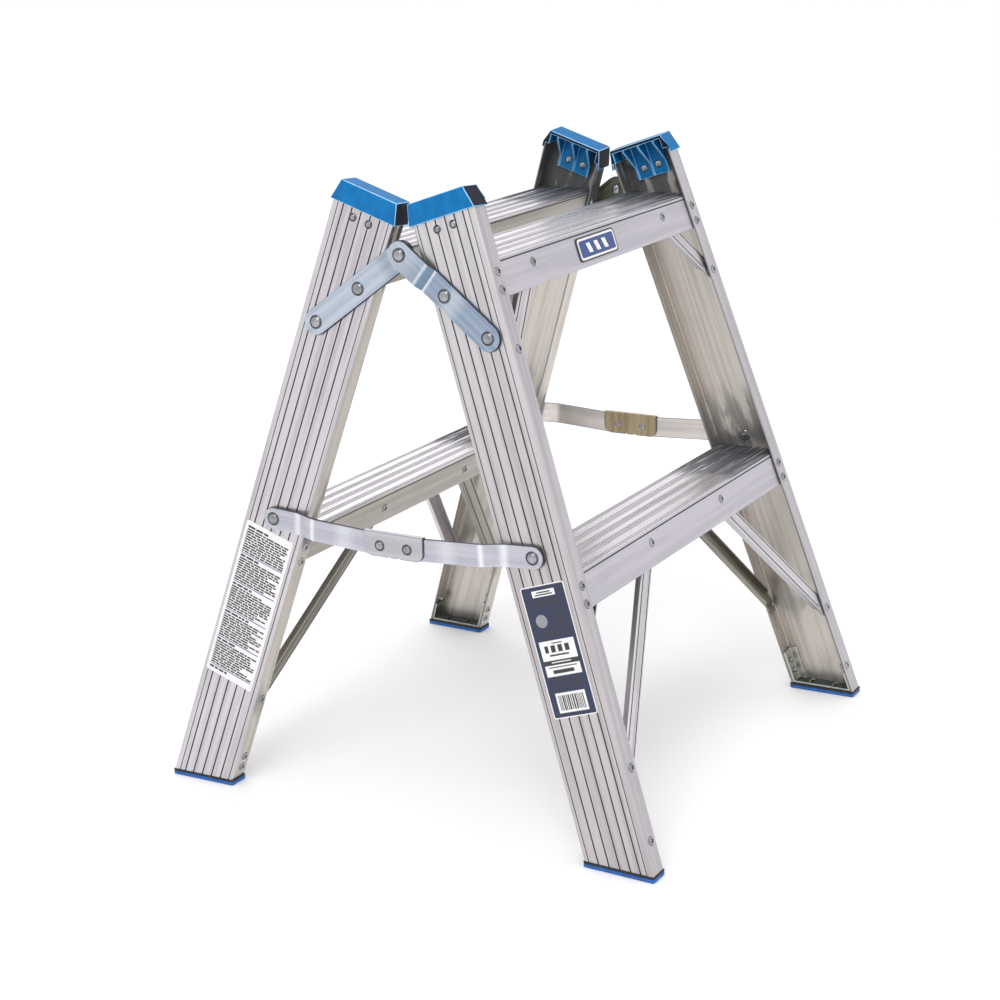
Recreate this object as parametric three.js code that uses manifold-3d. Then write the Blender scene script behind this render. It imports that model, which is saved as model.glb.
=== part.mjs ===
// Folding sawhorse: two aluminium ladder frames, A and B, hinged together at the top and tied by a
// folding spreader on each side. Millimetres, +Z up, the origin on the floor under the middle.
// X runs along the treads and Y is the folding direction: frame A leans to +Y and frame B to -Y.
//
// The sawhorse is symmetric about the X = 0 plane, and nearly so about Y = 0, so each piece is
// modelled once, for frame A's right-hand side (+X, +Y), and mirrored into the places it is used.
import * as THREE from "three";
import { mergeVertices } from "three/addons/utils/BufferGeometryUtils.js";
import Module from "manifold-3d";

const wasm = await Module();
wasm.setup();

const radians = THREE.MathUtils.degToRad;

// ---- Driving dimensions -------------------------------------------------------------------------
const PIVOT_HEIGHT = 584;
const PIVOT_WIDTH = 455.6; // across the rails' outer faces, at the pivot
const LEAN = radians(18.5);
const SPLAY = radians(4.4);
const GAP = 0.3; // between neighbouring pieces

const RAIL = { offset: 19.5, depth: 72, flange: 22, wall: 2.2, top: 28 };
const GROOVE = { first: 14.5, pitch: 11.4, count: 5, width: 1.8, depth: 0.9 };
const CAP = { wall: 2, skirt: 22, top: 44, overhang: 3.7, inset: 1.3, roof: 4 };
const TONGUE = { from: 15.5, to: 57, low: 1, thick: 2.4, rib: 2.2 };
const TREAD = { top: 584, low: 291, skin: 2.2, drop: 37 };
const RIB = { height: 0.8, foot: 1.8, crest: 0.9, pitch: 2.9 };
const RIB_GROUPS = [[0.06, 2], [0.28, 3], [0.5, 3], [0.72, 3], [0.94, 2]]; // share of the width, ribs
const BRACE = { width: 18, skin: 1.8, lip: 7, end: 15 };
const PAD = { height: 6, edge: 1.2 };
const SHOE = { skin: 2, plate: 2.4, tallLeg: 38, shortLeg: 24, slot: 4 };
const ARM = { angle: radians(35), near: 62, far: 123.5, width: 26, skin: 3, lift: 0.4, step: 4.2, bend: 30 };
const BAR = { width: 23, skin: 2.5, spacer: 2.3, step: 7.9, bend: 28, bendEnd: 56 };
const SPREADER = { rail: -314, linkHalf: 16, sag: 7.5 };
const LINK = { top: 68, foot: 60, skin: 1.6, above: 14.4, below: 11, play: 0.4 };
const RIVET = { radius: 3, head: 6.4, dome: 2.6, running: 0.1, fixed: 0.15, segments: 12 };

// Across the rail, from the fold plane.
const railIn = RAIL.offset;
const railOut = RAIL.offset + RAIL.depth;
const apronIn = railIn + RAIL.wall + GAP;
const apronOut = railOut - RAIL.wall - GAP;

// ---- Materials ----------------------------------------------------------------------------------
function metal(color, roughness) {
  return new THREE.MeshStandardMaterial({ color, roughness, metalness: 0.9 });
}
function plastic(color, roughness) {
  return new THREE.MeshStandardMaterial({ color, roughness, metalness: 0 });
}
const materials = {
  rail: metal(0xc9c5cb, 0.42),
  tread: metal(0xd2d0d3, 0.38),
  brace: metal(0xb9b8ba, 0.45),
  cap: plastic(0x1a6fbf, 0.5),
  pad: plastic(0x1b3f78, 0.8),
  shoe: metal(0x9fa4a0, 0.5),
  zinc: metal(0xa9b6c2, 0.35),
  bar: metal(0xc3c7cb, 0.35),
  link: metal(0x9a8a5e, 0.4),
  rivet: metal(0xdcdcde, 0.25),
};

// ---- Solids -------------------------------------------------------------------------------------
function solidOf(geometry) {
  const bare = geometry.index ? geometry.toNonIndexed() : geometry.clone();
  bare.deleteAttribute("normal");
  bare.deleteAttribute("uv");
  const merged = mergeVertices(bare, 1e-4);
  return new wasm.Manifold(new wasm.Mesh({
    numProp: 3,
    vertProperties: new Float32Array(merged.attributes.position.array),
    triVerts: new Uint32Array(merged.index.array),
  }));
}

function geometryOf(solid) {
  const mesh = solid.getMesh();
  const geometry = new THREE.BufferGeometry();
  geometry.setAttribute("position", new THREE.BufferAttribute(mesh.vertProperties, 3));
  geometry.setIndex(new THREE.BufferAttribute(mesh.triVerts, 1));
  geometry.computeVertexNormals();
  return geometry;
}

function joined(...geometries) {
  return geometryOf(geometries.map(solidOf).reduce((sum, solid) => sum.add(solid)));
}

function cut(geometry, ...tools) {
  return geometryOf(tools.map(solidOf).reduce((rest, tool) => rest.subtract(tool), solidOf(geometry)));
}

function common(geometry, other) {
  return geometryOf(solidOf(geometry).intersect(solidOf(other)));
}

// A straight prism along an axis. Its outline is in the next two coordinates in the order X, Y, Z,
// X, Y: (y, z) for "x", (z, x) for "y" and (x, y) for "z". Each end is a number, or a function of
// the outline's coordinates where the end is cut on a slope.
function prism(axis, points, low, high) {
  const outline = points.map(([a, b]) => new THREE.Vector2(a, b));
  const geometry = new THREE.ExtrudeGeometry(new THREE.Shape(outline), {
    depth: 1,
    steps: 1,
    bevelEnabled: false,
  });
  const position = geometry.attributes.position;
  for (let i = 0; i < position.count; i += 1) {
    const a = position.getX(i);
    const b = position.getY(i);
    const end = position.getZ(i) > 0.5 ? high : low;
    const c = typeof end === "function" ? end(a, b) : end;
    if (axis === "x") position.setXYZ(i, c, a, b);
    if (axis === "y") position.setXYZ(i, b, c, a);
    if (axis === "z") position.setXYZ(i, a, b, c);
  }
  return geometry;
}

function box(x, y, z) {
  const geometry = new THREE.BoxGeometry(x[1] - x[0], y[1] - y[0], z[1] - z[0]);
  return geometry.translate((x[0] + x[1]) / 2, (y[0] + y[1]) / 2, (z[0] + z[1]) / 2);
}

// A cylinder along X, through a point of the YZ plane.
function drill(radius, y = 0, z = 0, reach = 20) {
  const geometry = new THREE.CylinderGeometry(radius, radius, 2 * reach, RIVET.segments);
  return geometry.rotateZ(-Math.PI / 2).translate(0, y, z);
}

// An outline with a half-round at each end, running along its first coordinate.
function stadium(width, from, to) {
  const radius = width / 2;
  const steps = 8;
  const points = [];
  for (const [centre, start] of [[to, -0.5], [from, 0.5]]) {
    for (let i = 0; i <= steps; i += 1) {
      const turn = Math.PI * (start + i / steps);
      points.push([centre + radius * Math.cos(turn), radius * Math.sin(turn)]);
    }
  }
  return points;
}

// A rivet along X with a domed head from x = head outwards. It ends in an upset tail behind
// x = tail, or is cut off square there. A collar is a washer round the shank.
function rivet(head, tail, { upset = true, collar = null } = {}) {
  const points = [];
  if (upset) {
    points.push([0, tail - RIVET.dome * 0.6], [RIVET.head * 0.6, tail - RIVET.dome * 0.45]);
    points.push([RIVET.head * 0.85, tail]);
  } else {
    points.push([0, tail]);
  }
  points.push([RIVET.radius, tail]);
  if (collar) {
    points.push([RIVET.radius, collar[0]], [RIVET.head, collar[0]]);
    points.push([RIVET.head, collar[1]], [RIVET.radius, collar[1]]);
  }
  points.push([RIVET.radius, head], [RIVET.head, head]);
  points.push([RIVET.head * 0.7, head + RIVET.dome * 0.75], [0, head + RIVET.dome]);
  const outline = points.map(([r, x]) => new THREE.Vector2(r, x));
  const distinct = outline.filter((p, i) => i === 0 || p.distanceTo(outline[i - 1]) > 1e-6);
  return new THREE.LatheGeometry(distinct, RIVET.segments).rotateZ(-Math.PI / 2);
}

// ---- Places -------------------------------------------------------------------------------------
// Frame space: the pivot axis is X through the origin, Z runs up the rails and Y away from the fold.
// Rail space: the same, turned about Y by the splay, with x = 0 on the web's outer face.
const frameMatrix = new THREE.Matrix4()
  .makeTranslation(0, 0, PIVOT_HEIGHT)
  .multiply(new THREE.Matrix4().makeRotationX(LEAN));
const railMatrix = frameMatrix.clone()
  .multiply(new THREE.Matrix4().makeTranslation(PIVOT_WIDTH / 2, 0, 0))
  .multiply(new THREE.Matrix4().makeRotationY(-SPLAY));

// How far up the rail a line through (x, y) of rail space meets a level plane.
function railLevel(height) {
  const [upX, upY, upZ, base] = [2, 6, 10, 14].map((i) => railMatrix.elements[i]);
  return (x, y) => (height - base - upX * x - upY * y) / upZ;
}

// The world y, at a height, of a plane that runs up frame A at a distance from the fold.
function leaning(distance, height) {
  return distance / Math.cos(LEAN) + (PIVOT_HEIGHT - height) * Math.tan(LEAN);
}

// The frame-space x of a rail's outer face.
function webAt(along) {
  return PIVOT_WIDTH / 2 - along * Math.tan(SPLAY);
}

// The spreader's rivet through rail A, and its rivet through the link, in world space.
const barPivot = new THREE.Vector3(webAt(SPREADER.rail), railIn + RAIL.depth / 2, SPREADER.rail)
  .applyMatrix4(frameMatrix);
const linkPivot = new THREE.Vector3(barPivot.x, SPREADER.linkHalf, barPivot.z - SPREADER.sag);
const barLength = barPivot.distanceTo(linkPivot);

// The arm's rivets, as (y, z) in rail space.
const armRivets = [ARM.near, ARM.far].map((distance) => [
  distance * Math.sin(ARM.angle),
  -distance * Math.cos(ARM.angle),
]);

// ---- Rail ---------------------------------------------------------------------------------------
// A channel with its flanges turned inwards and grooves down the outside of its web.
function railOutline() {
  const bevel = 0.9;
  const points = [[-bevel, railIn], [0, railIn + bevel]];
  for (let i = 0; i < GROOVE.count; i += 1) {
    const middle = railIn + GROOVE.first + i * GROOVE.pitch;
    points.push([0, middle - GROOVE.width / 2], [-GROOVE.depth, middle]);
    points.push([0, middle + GROOVE.width / 2]);
  }
  points.push([0, railOut - bevel], [-bevel, railOut], [-RAIL.flange, railOut]);
  points.push([-RAIL.flange, railOut - RAIL.wall], [-RAIL.wall, railOut - RAIL.wall]);
  points.push([-RAIL.wall, railIn + RAIL.wall], [-RAIL.flange, railIn + RAIL.wall]);
  points.push([-RAIL.flange, railIn]);
  return points;
}

function railGeometry() {
  const blank = prism("z", railOutline(), railLevel(PAD.height + GAP), RAIL.top);
  const armHoles = armRivets.map(([y, z]) => drill(RIVET.radius + RIVET.fixed, y, z));
  const spreaderHole = drill(RIVET.radius + RIVET.fixed)
    .translate(barPivot.x, 0, 0)
    .applyMatrix4(new THREE.Matrix4().makeRotationX(LEAN))
    .translate(0, barPivot.y, barPivot.z)
    .applyMatrix4(railMatrix.clone().invert());
  return cut(blank, ...armHoles, spreaderHole);
}

// ---- Cap ----------------------------------------------------------------------------------------
// A skirt with drafted ends wraps the outside of the rail's end. Inside, a tongue lies on the web
// and three gusset ribs run down it from the roof.
function capGeometry() {
  const front = -RAIL.flange - 1.5;
  const back = -RAIL.wall - GAP;
  const block = prism("x", [
    [railIn - CAP.overhang, CAP.skirt],
    [railOut + CAP.wall + GAP, CAP.skirt],
    [railOut - 4.5, CAP.top],
    [railIn + CAP.inset, CAP.top],
  ], front, CAP.wall + GAP);
  const railEnd = box([front - 5, GAP], [railIn - GAP, railOut + GAP], [0, RAIL.top + GAP]);
  const underRoof = box(
    [front - 5, -RAIL.wall],
    [railIn + 4, railOut - 7],
    [RAIL.top - 5, CAP.top - CAP.roof],
  );
  const tongue = box(
    [back - TONGUE.thick, back],
    [railIn + TONGUE.from, railIn + TONGUE.to],
    [TONGUE.low, CAP.top - 2],
  );
  const ribSide = [
    [TONGUE.low, back - 1],
    [TONGUE.low, back - TONGUE.thick - 1.6],
    [15, back - TONGUE.thick - 2.2],
    [CAP.top - CAP.roof - 3, front],
    [CAP.top - 2, front],
    [CAP.top - 2, back - 1],
  ].reverse();
  const ribs = [0, 0.5, 1].map((share) => {
    const from = railIn + TONGUE.from + share * (TONGUE.to - TONGUE.from - TONGUE.rib);
    return prism("y", ribSide, from, from + TONGUE.rib);
  });
  return joined(cut(block, railEnd, underRoof), tongue, ...ribs);
}

// ---- Tread --------------------------------------------------------------------------------------
// The section in Y and Z: groups of ribs along the top, and an apron down each side that is
// parallel to the flanges.
function treadOutline(height) {
  const land = height - RIB.height;
  const foot = height - TREAD.drop;
  const under = land - TREAD.skin;
  const inner = leaning(apronIn, land);
  const outer = leaning(apronOut, land);
  const points = [[inner, land], [leaning(apronIn, foot), foot]];
  points.push([leaning(apronIn + TREAD.skin, foot), foot], [leaning(apronIn + TREAD.skin, under), under]);
  points.push([leaning(apronOut - TREAD.skin, under), under], [leaning(apronOut - TREAD.skin, foot), foot]);
  points.push([leaning(apronOut, foot), foot], [outer, land]);
  const ribs = RIB_GROUPS.flatMap(([share, count]) => Array.from({ length: count }, (_, i) => (
    inner + share * (outer - inner) + (i - (count - 1) / 2) * RIB.pitch
  )));
  for (const middle of ribs.reverse()) {
    points.push([middle + RIB.foot / 2, land], [middle + RIB.crest / 2, height]);
    points.push([middle - RIB.crest / 2, height], [middle - RIB.foot / 2, land]);
  }
  return points;
}

// The tread's ends stop against the webs, so they lean and splay with the rails.
function treadGeometry(height) {
  const toWeb = (y, z) => {
    const along = (z - PIVOT_HEIGHT) * Math.cos(LEAN) - y * Math.sin(LEAN);
    return webAt(along) - (RAIL.wall + GAP) / Math.cos(SPLAY);
  };
  return prism("x", treadOutline(height), (y, z) => -toWeb(y, z), toWeb);
}

// ---- Knee braces --------------------------------------------------------------------------------
// A pressed channel along Z: a strip with round ends and a lip down each side between them. The
// side at y = 0 bears on the apron and the flange.
function braceGeometry(length) {
  const edge = BRACE.width / 2;
  const strip = prism("y", stadium(BRACE.width, 0, length), -BRACE.skin, 0);
  const side = [
    [-0.5, BRACE.end],
    [-0.5, length - BRACE.end],
    [-BRACE.lip, length - BRACE.end - 6],
    [-BRACE.lip, BRACE.end + 6],
  ];
  const lips = [-edge, edge - BRACE.skin].map((x) => prism("x", side, x, x + BRACE.skin));
  return joined(strip, ...lips);
}

// A brace between two points of frame space, bearing on the flange that faces outwards (facing 1)
// or towards the fold (facing -1).
function braceMesh(name, from, to, facing) {
  const z = to.clone().sub(from).normalize();
  const y = new THREE.Vector3(0, facing, 0).addScaledVector(z, -z.y * facing).normalize();
  const x = new THREE.Vector3().crossVectors(y, z);
  const mesh = named(name, braceGeometry(from.distanceTo(to)), materials.brace);
  mesh.quaternion.setFromRotationMatrix(new THREE.Matrix4().makeBasis(x, y, z));
  mesh.position.copy(from);
  return mesh;
}

function braceMeshes(corner) {
  const behind = TREAD.skin + 3 * GAP;
  const at = (x, y, z) => new THREE.Vector3(x, y, z);
  const onFlange = (inset, y, z) => at(webAt(z) - inset, y, z);
  return [
    ["top_brace", at(146, apronOut - behind, -46), onFlange(13, apronOut - 1.6, -118), 1],
    ["outer_brace", at(86, apronOut - behind, -355), onFlange(14, apronOut, -535), 1],
    ["inner_brace", at(86, apronIn + behind, -337), onFlange(14, apronIn, -519), -1],
  ].map(([name, from, to, facing]) => braceMesh(`${corner}_${name}`, from, to, facing));
}

// ---- Feet ---------------------------------------------------------------------------------------
// A bent bracket inside the rail's end: a level plate, a tall angled leg in the inner corner and a
// short leg on the outer flange.
function shoeGeometry() {
  const back = -RAIL.wall - GAP;
  const front = -RAIL.flange + 1;
  const level = railLevel(PAD.height + GAP);
  const piece = (x0, x1, y0, y1, high) => prism("z", [[x0, y0], [x1, y0], [x1, y1], [x0, y1]], level, high);
  const tall = level(front, apronIn) + SHOE.tallLeg;
  const short = level(front, apronOut) + SHOE.shortLeg;
  const bent = joined(
    piece(front, back, apronIn, apronOut, railLevel(PAD.height + GAP + SHOE.plate)),
    piece(front, back, apronIn, apronIn + SHOE.skin, tall),
    piece(back - SHOE.skin, back, apronIn, apronIn + 10, tall),
    piece(front, back, apronOut - SHOE.skin, apronOut, short),
  );
  const slots = [0.3, 0.7].map((share) => {
    const y = apronIn + share * (apronOut - apronIn);
    const x = (front + back) / 2;
    const outline = stadium(SHOE.slot, -4, 4).map(([a, b]) => [x + a, y + b]);
    return prism("z", outline, level(x, y) - 20, level(x, y) + 12);
  });
  return cut(bent, ...slots);
}

// The pad stands upright under the rail's leaning end and is a little larger all round.
function padGeometry() {
  const level = railLevel(PAD.height);
  const corner = (x, y) => {
    const point = new THREE.Vector3(x, y, level(x, y)).applyMatrix4(railMatrix);
    return [point.x, point.y];
  };
  const inside = -RAIL.flange - PAD.edge;
  return prism("z", [
    corner(inside, railIn - PAD.edge),
    corner(PAD.edge, railIn - PAD.edge),
    corner(PAD.edge, railOut + PAD.edge),
    corner(inside, railOut + PAD.edge),
  ], 0, PAD.height);
}

// ---- Strips with a joggle -----------------------------------------------------------------------
// A flat strip hangs down Z from z = 0 to z = -length with half-round ends. It is flat at
// x = upper near the top, and steps to x = lower between the two bends.
function strip(width, skin, length, upper, lower, bends) {
  const radius = width / 2;
  const side = [[radius + 1, upper], [-bends[0], upper], [-bends[1], lower], [-length - radius - 1, lower]];
  const back = side.map(([z, x]) => [z, x + skin]).reverse();
  const folded = prism("y", [...side, ...back].reverse(), -radius - 1, radius + 1);
  const plan = prism("x", stadium(width, -length, 0).map(([z, y]) => [y, z]).reverse(), -10, 30);
  return common(folded, plan);
}

// Rail space: the arm lies on the web and reaches up to the pivot, where B's arm steps out over A's.
function armGeometry(step) {
  const bends = [ARM.bend, ARM.bend + 8];
  const flat = strip(ARM.width, ARM.skin, ARM.far, ARM.lift + step, ARM.lift, bends);
  flat.applyMatrix4(new THREE.Matrix4().makeRotationX(ARM.angle));
  const pivotHole = drill(RIVET.radius + RIVET.running)
    .applyMatrix4(new THREE.Matrix4().makeRotationY(SPLAY));
  const holes = armRivets.map(([y, z]) => drill(RIVET.radius + RIVET.fixed, y, z));
  return cut(flat, pivotHole, ...holes);
}

// The bar's own space: the rail rivet at the origin, and the bar turned to point at the link.
function barGeometry() {
  const bends = [BAR.bend, BAR.bendEnd];
  const flat = strip(BAR.width, BAR.skin, barLength, BAR.spacer, BAR.spacer + BAR.step, bends);
  const bored = cut(flat, ...[0, -barLength].map((z) => drill(RIVET.radius + RIVET.running, 0, z)));
  const turn = Math.atan2(linkPivot.y - barPivot.y, barPivot.z - linkPivot.z);
  return bored.rotateX(turn);
}

// ---- Link ---------------------------------------------------------------------------------------
// A strip folded over the two bars, open below. Its own space has the middle of the link at y = 0
// and the rivets at z = 0.
function linkGeometry() {
  const barFrom = BAR.spacer + BAR.step;
  const slot = [barFrom - LINK.play, barFrom + BAR.skin + LINK.play];
  const half = LINK.top / 2;
  const foot = LINK.foot / 2;
  const side = [
    [-foot, -LINK.below], [foot, -LINK.below], [half, 3], [half, LINK.above - 2.5],
    [half - 2.5, LINK.above], [2.5 - half, LINK.above], [-half, LINK.above - 2.5], [-half, 3],
  ];
  const block = prism("x", side, slot[0] - LINK.skin, slot[1] + LINK.skin);
  const inside = box(slot, [-half - 5, half + 5], [-LINK.below - 5, LINK.above - LINK.skin]);
  const holes = [-1, 1].map((way) => drill(RIVET.radius + RIVET.fixed, way * SPREADER.linkHalf, 0));
  return cut(block, inside, ...holes);
}

// ---- Assembly -----------------------------------------------------------------------------------
function named(name, geometry, material) {
  const mesh = new THREE.Mesh(geometry, material);
  mesh.name = name;
  return mesh;
}

function moved(mesh, point) {
  mesh.position.copy(point);
  return mesh;
}

// Everything that is repeated at a corner: a rail and what is fixed to it.
function corner(letter, side) {
  const tag = `${letter}_${side}`;
  const overlaps = letter === "b";
  const armFace = ARM.lift + ARM.skin + RIVET.fixed;
  const barFace = BAR.spacer + BAR.skin + RIVET.fixed;
  const washer = [1.2, BAR.spacer - RIVET.fixed];

  const onRail = new THREE.Group();
  onRail.applyMatrix4(railMatrix);
  onRail.add(named(`${tag}_rail`, railGeometry(), materials.rail));
  onRail.add(named(`${tag}_cap`, capGeometry(), materials.cap));
  onRail.add(named(`${tag}_shoe`, shoeGeometry(), materials.shoe));
  onRail.add(named(`${tag}_hinge_arm`, armGeometry(overlaps ? ARM.step : 0), materials.zinc));
  armRivets.forEach(([y, z], i) => {
    const fixing = named(`${tag}_arm_rivet_${i + 1}`, rivet(armFace, -RAIL.wall - RIVET.fixed), materials.rivet);
    onRail.add(moved(fixing, new THREE.Vector3(0, y, z)));
  });

  const onFrame = new THREE.Group();
  onFrame.applyMatrix4(frameMatrix);
  onFrame.add(...braceMeshes(tag));

  // Rail A is pierced by the spreader's rivet. On B the rivet turns with the bar and stops short.
  const spreaderRivet = overlaps
    ? rivet(barFace, washer[0], { upset: false, collar: washer })
    : rivet(barFace, -RAIL.wall - 0.8, { collar: washer });
  const group = new THREE.Group();
  group.add(onRail, onFrame, named(`${tag}_pad`, padGeometry(), materials.pad));
  group.add(moved(named(`${tag}_spreader_bar`, barGeometry(), materials.bar), barPivot));
  group.add(moved(named(`${tag}_spreader_rivet`, spreaderRivet, materials.rivet), barPivot));
  return group;
}

// The hinge pivot and the spreader's link, once on each side.
function middle(side) {
  const group = new THREE.Group();
  const pivotHead = ARM.lift + ARM.step + ARM.skin + 0.7;
  const pivot = named(`${side}_hinge_pivot`, rivet(pivotHead, ARM.lift - 0.7), materials.rivet);
  group.add(moved(pivot, new THREE.Vector3(PIVOT_WIDTH / 2, 0, PIVOT_HEIGHT)));

  const linkMiddle = linkPivot.clone().setY(0);
  group.add(moved(named(`${side}_link`, linkGeometry(), materials.link), linkMiddle));
  const barFrom = BAR.spacer + BAR.step;
  const reach = LINK.play + LINK.skin + RIVET.fixed;
  for (const [letter, way] of [["a", 1], ["b", -1]]) {
    const geometry = rivet(barFrom + BAR.skin + reach, barFrom - reach);
    const place = linkMiddle.clone().setY(way * SPREADER.linkHalf);
    group.add(moved(named(`${side}_link_rivet_${letter}`, geometry, materials.rivet), place));
  }
  return group;
}

const sawhorse = new THREE.Group();
sawhorse.name = "folding_sawhorse";
for (const [letter, way] of [["a", 1], ["b", -1]]) {
  for (const [side, across] of [["right", 1], ["left", -1]]) {
    const quarter = corner(letter, side);
    quarter.scale.set(across, way, 1);
    sawhorse.add(quarter);
  }
  const treads = new THREE.Group();
  treads.add(named(`${letter}_top_tread`, treadGeometry(TREAD.top), materials.tread));
  treads.add(named(`${letter}_low_tread`, treadGeometry(TREAD.low), materials.tread));
  treads.scale.y = way;
  sawhorse.add(treads);
}
for (const [side, across] of [["right", 1], ["left", -1]]) {
  const half = middle(side);
  half.scale.x = across;
  sawhorse.add(half);
}

export default sawhorse;
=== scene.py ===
"""Looks for the folding sawhorse: finer stand-ins for its CAD nodes, the small fixings, labels,
materials, floor, light and camera. Shapes are written in millimetres and placed in metres."""

import math
import random
from math import cos, pi, radians, sin, tan

import bmesh
import bpy
from mathutils import Matrix, Vector


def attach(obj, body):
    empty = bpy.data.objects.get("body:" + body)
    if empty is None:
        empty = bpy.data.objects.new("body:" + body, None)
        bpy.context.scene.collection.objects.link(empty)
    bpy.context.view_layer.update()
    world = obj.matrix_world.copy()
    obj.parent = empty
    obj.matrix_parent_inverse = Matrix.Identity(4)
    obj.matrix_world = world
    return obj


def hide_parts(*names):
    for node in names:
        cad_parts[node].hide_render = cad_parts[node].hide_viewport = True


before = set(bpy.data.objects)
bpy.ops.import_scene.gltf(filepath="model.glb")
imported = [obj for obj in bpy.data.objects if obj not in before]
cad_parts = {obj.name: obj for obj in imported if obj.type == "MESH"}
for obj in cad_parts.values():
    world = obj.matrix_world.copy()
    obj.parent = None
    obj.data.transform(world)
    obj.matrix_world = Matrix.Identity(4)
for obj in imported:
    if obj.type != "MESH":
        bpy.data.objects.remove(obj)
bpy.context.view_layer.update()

MM = 0.001

# ---- Driving dimensions, in millimetres, as in the CAD source ----
PIVOT_HEIGHT = 584
PIVOT_WIDTH = 455.6
LEAN = radians(18.5)
SPLAY = radians(4.4)
GAP = 0.3
RAIL_IN = 19.5
RAIL_OUT = 91.5
FLANGE = 22
WALL = 2.2
RAIL_TOP = 28
PAD_HEIGHT = 6
APRON_IN = RAIL_IN + WALL + GAP
APRON_OUT = RAIL_OUT - WALL - GAP
TREAD_SKIN = 2.2
TREAD_DROP = 37
RIB_HEIGHT = 0.8
RIB_PITCH = 2.9
RIB_GROUPS = ((0.06, 2), (0.28, 3), (0.5, 3), (0.72, 3), (0.94, 2))
ARM_ANGLE = radians(35)
ARM_NEAR = 62
ARM_FAR = 123.5
ARM_LIFT = 0.4
ARM_STEP = 4.2
ARM_SKIN = 3
BAR_SKIN = 2.5
BAR_SPACER = 2.3
BAR_STEP = 7.9
SPREADER_RAIL = -314
LINK_HALF = 16
LINK_SKIN = 1.6
SPREADER_SAG = 7.5
HEAD = 6.4

# ---- Dimensions that only the looks use, in millimetres ----
TREAD_HEIGHTS = (("top", 584), ("low", 291))
ARM_WIDTH = 26
ARM_BENDS = (30, 38)
BAR_WIDTH = 23
BAR_BENDS = (28, 56)
RIM_SKIN = 0.4
RIM_INSET = 0.25
RIVET_SEAT = 0.05
LATHE_STEPS = 28
HARD_EDGE = radians(38)
SHARP_EDGE = radians(32)

# ---- Camera, fitted, in metres ----
CAMERA_AT = (-1.93864, -1.09884, 0.93855)
CAMERA_YAW = radians(59.76)
CAMERA_PITCH = radians(-16.6)
CAMERA_ROLL = radians(-1.51)
CAMERA_LENS = 76.14

random.seed(1729)


def web_at(along):
    """The frame-space x of a rail's outer face."""
    return PIVOT_WIDTH / 2 - along * tan(SPLAY)


def leaning(distance, height):
    """The world y, at a height, of a plane that runs up frame A at a distance from the fold."""
    return distance / cos(LEAN) + (PIVOT_HEIGHT - height) * tan(LEAN)


# ---- Places ----
WORLD = Matrix.Identity(4)
FRAME = Matrix.Translation((0, 0, PIVOT_HEIGHT)) @ Matrix.Rotation(LEAN, 4, "X")
RAIL = FRAME @ Matrix.Translation((PIVOT_WIDTH / 2, 0, 0)) @ Matrix.Rotation(-SPLAY, 4, "Y")
BAR_PIVOT = FRAME @ Vector((web_at(SPREADER_RAIL), (RAIL_IN + RAIL_OUT) / 2, SPREADER_RAIL))
LINK_PIVOT = Vector((BAR_PIVOT.x, LINK_HALF, BAR_PIVOT.z - SPREADER_SAG))
BAR_LENGTH = (LINK_PIVOT - BAR_PIVOT).length
ARM_RIVETS = [(d * sin(ARM_ANGLE), -d * cos(ARM_ANGLE)) for d in (ARM_NEAR, ARM_FAR)]


def mirrored(letter, side, place):
    """The place on frame A's right-hand side, mirrored to another corner of the sawhorse."""
    across = 1 if side == "right" else -1
    way = 1 if letter == "a" else -1
    return Matrix.Diagonal((across, way, 1, 1)) @ place


def rail_level(height):
    """How far up the rail a line through (x, y) of rail space meets a level plane."""
    row = RAIL[2]
    return lambda x, y: (height - row[3] - row[0] * x - row[1] * y) / row[2]


def facing(point, direction):
    """A place at a point whose X axis looks along a direction."""
    return Matrix.Translation(point) @ Vector(direction).to_track_quat("X", "Z").to_matrix().to_4x4()


# ---- Shapes: each is (vertices, faces) ----
def fillet(corners, steps=4):
    """An outline from (x, y, radius) corners, with each corner rounded."""
    outline = []
    for i, (x, y, radius) in enumerate(corners):
        here = Vector((x, y))
        if radius == 0:
            outline.append((x, y))
            continue
        back = (Vector(corners[i - 1][:2]) - here).normalized()
        ahead = (Vector(corners[(i + 1) % len(corners)][:2]) - here).normalized()
        half = back.angle(ahead) / 2
        centre = here + (back + ahead).normalized() * (radius / sin(half))
        start = here + back * (radius / tan(half)) - centre
        end = here + ahead * (radius / tan(half)) - centre
        for k in range(steps + 1):
            spoke = start.lerp(end, k / steps).normalized() * radius
            outline.append(tuple(centre + spoke))
    return outline


def loft(rings):
    """A closed skin over rings of equally many points, with flat ends."""
    n = len(rings[0])
    vertices = [tuple(p) for ring in rings for p in ring]
    faces = []
    for r in range(len(rings) - 1):
        for i in range(n):
            j = (i + 1) % n
            faces.append((r * n + i, r * n + j, (r + 1) * n + j, (r + 1) * n + i))
    faces.append(tuple(reversed(range(n))))
    faces.append(tuple((len(rings) - 1) * n + i for i in range(n)))
    return vertices, faces


def rounded(across, along, radius, steps=4):
    """The outline of a rectangle with round corners, from its two spans."""
    (left, right), (low, high) = across, along
    corners = [(left, low), (right, low), (right, high), (left, high)]
    return fillet([(a, b, radius) for a, b in corners], steps)


def slab(outline, low, high, number):
    """A flat shape of one material, from a (y, z) outline and its two levels along X."""
    return (*loft([[(x, y, z) for y, z in outline] for x in (low, high)]), number)


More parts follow.
